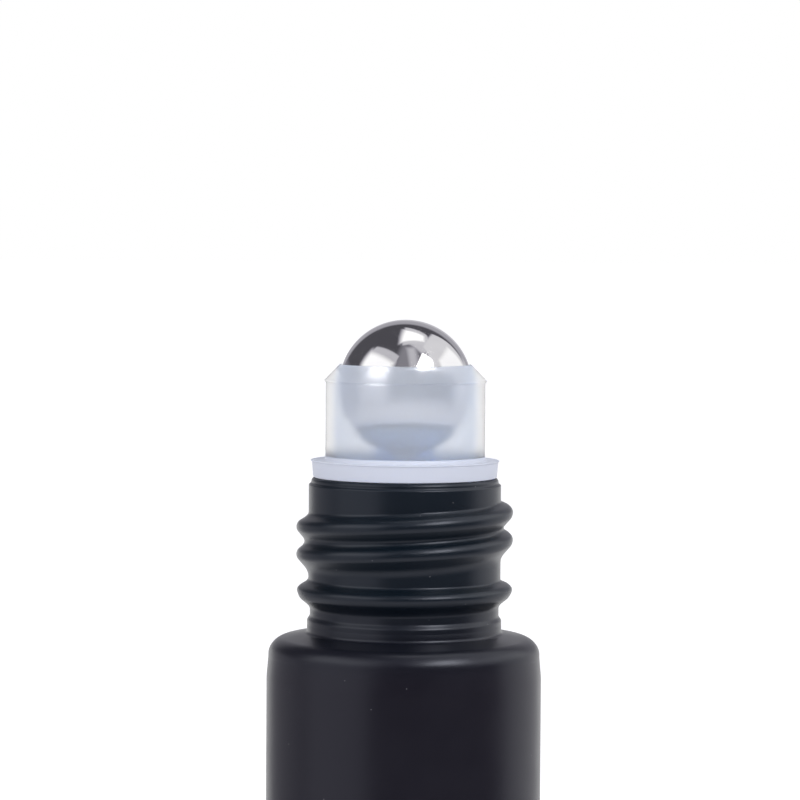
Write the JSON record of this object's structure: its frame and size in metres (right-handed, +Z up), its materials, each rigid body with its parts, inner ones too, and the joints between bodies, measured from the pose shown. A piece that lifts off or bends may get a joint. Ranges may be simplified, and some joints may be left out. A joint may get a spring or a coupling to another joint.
{
  "type": "roll on bottle",
  "caption": "Slim round glass bottle coated matte black, with a screw neck and a milky plastic insert that holds a polished steel roller ball.",
  "frame": {"origin": "centre of the base, on the surface that the bottle stands on", "axes": "+Z up along the bottle's axis towards the ball; the camera of the picture looks along +Y"},
  "size_m": [0.02, 0.02, 0.0815],
  "materials": {
    "coated_glass": "glass with a smooth matte black coating outside",
    "natural_plastic": "milky, see-through natural plastic as moulded",
    "polished_steel": "mirror polished stainless steel"
  },
  "bodies": {
    "bottle": {"bottle": "coated_glass"},
    "housing": {"roller_housing": "natural_plastic"},
    "ball": {"roller_ball": "polished_steel"}
  },
  "joints": [
    {"name": "housing_lift", "type": "slide", "parent": "bottle", "child": "housing", "axis": [0, 0, 1], "range_m": [0, 0.02]},
    {"name": "ball_roll", "type": "hinge", "parent": "housing", "child": "ball", "pos_m": [0, 0, 0.07655], "axis": [1, 0, 0], "continuous": true}
  ]
}
